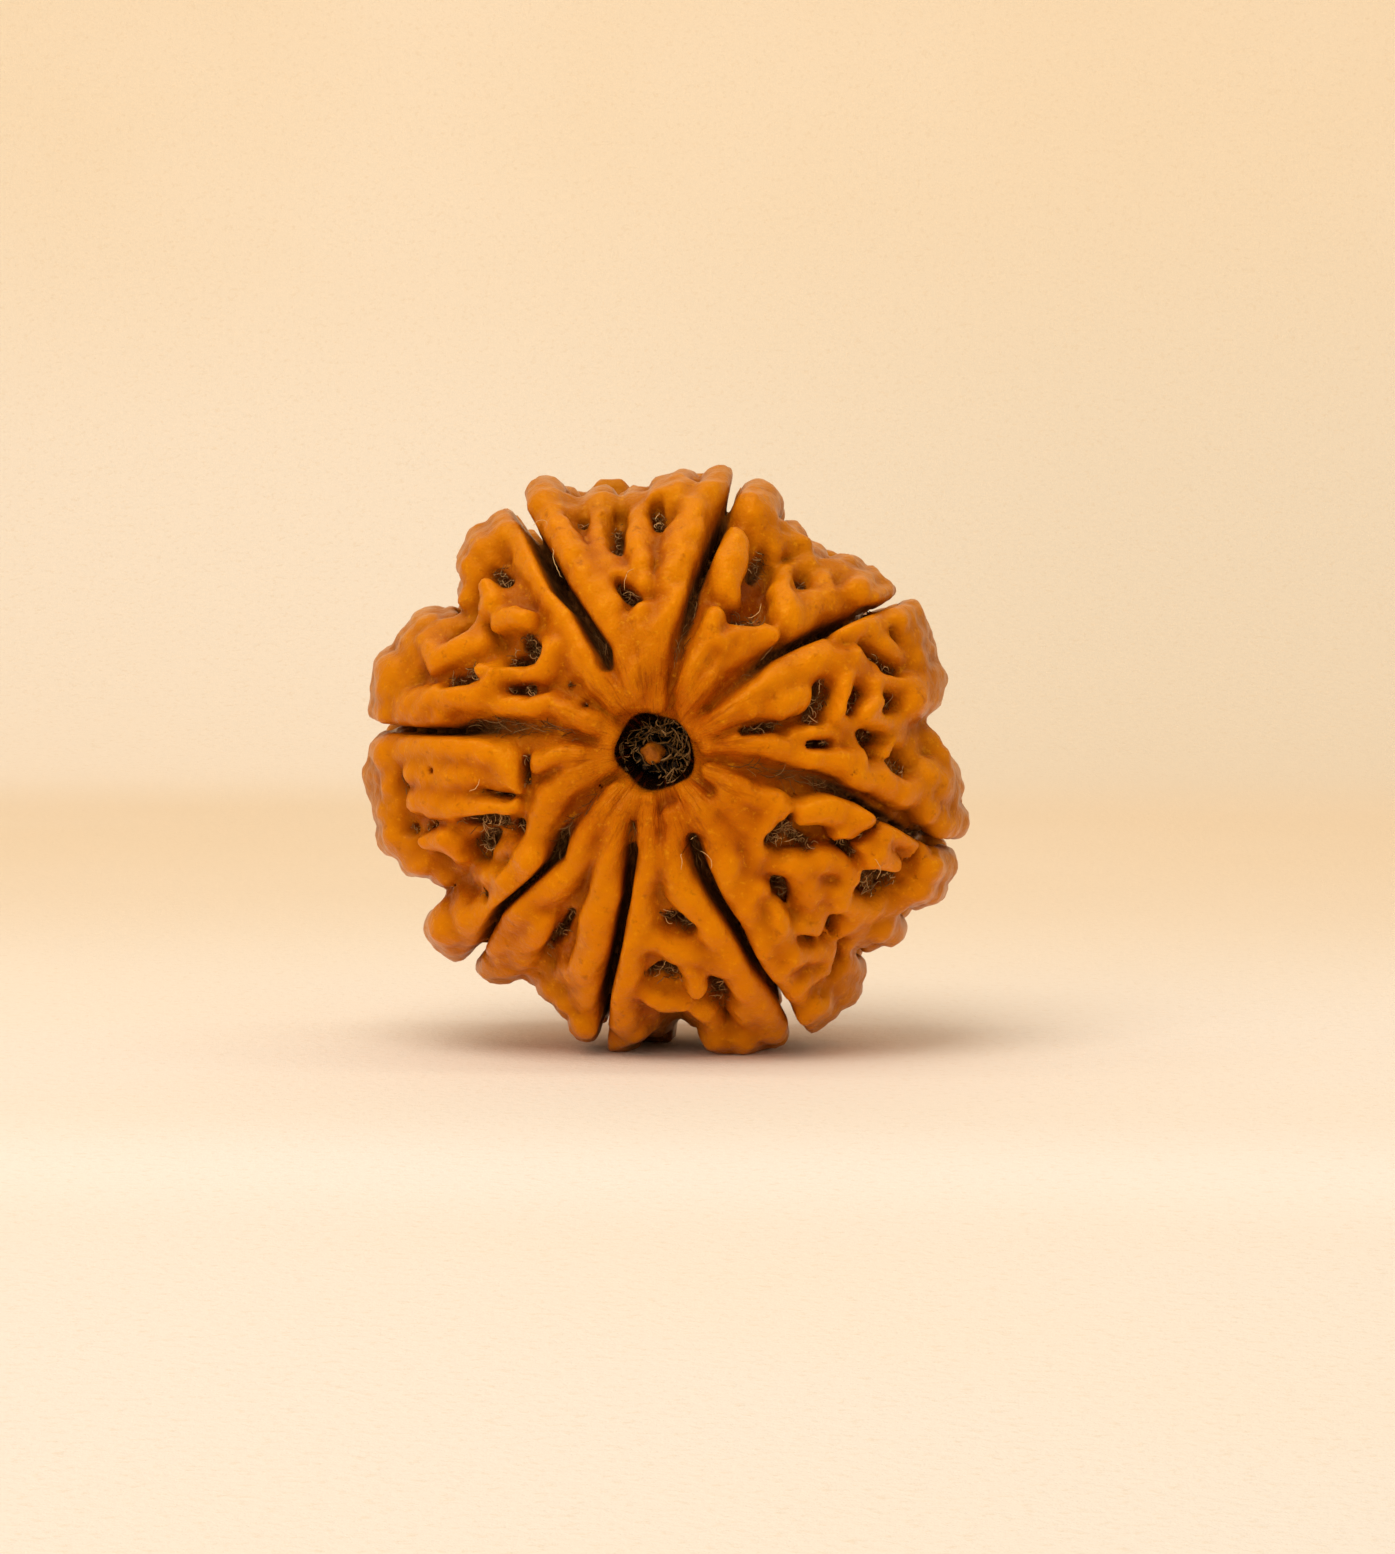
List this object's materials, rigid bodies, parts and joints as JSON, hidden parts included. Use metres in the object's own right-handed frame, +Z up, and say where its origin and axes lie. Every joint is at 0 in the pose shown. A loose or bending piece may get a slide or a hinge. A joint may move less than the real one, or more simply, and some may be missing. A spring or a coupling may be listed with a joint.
{
  "type": "rudraksha bead",
  "caption": "Dried fruit stone bead, round and slightly flattened, split into lobes by clefts and covered in a net of raised ridges, with a fibre-filled hole.",
  "frame": {"origin": "on the ground under the middle of the bead as it stands on its rim", "axes": "+Z up, the hole runs along Y, and the mouth seen in the picture faces -Y"},
  "size_m": [0.0252, 0.0176, 0.0241],
  "materials": {
    "stone": "satin",
    "core_strand": "matte"
  },
  "bodies": {
    "root": {"stone": "stone", "core_strand": "core_strand"}
  },
  "joints": []
}
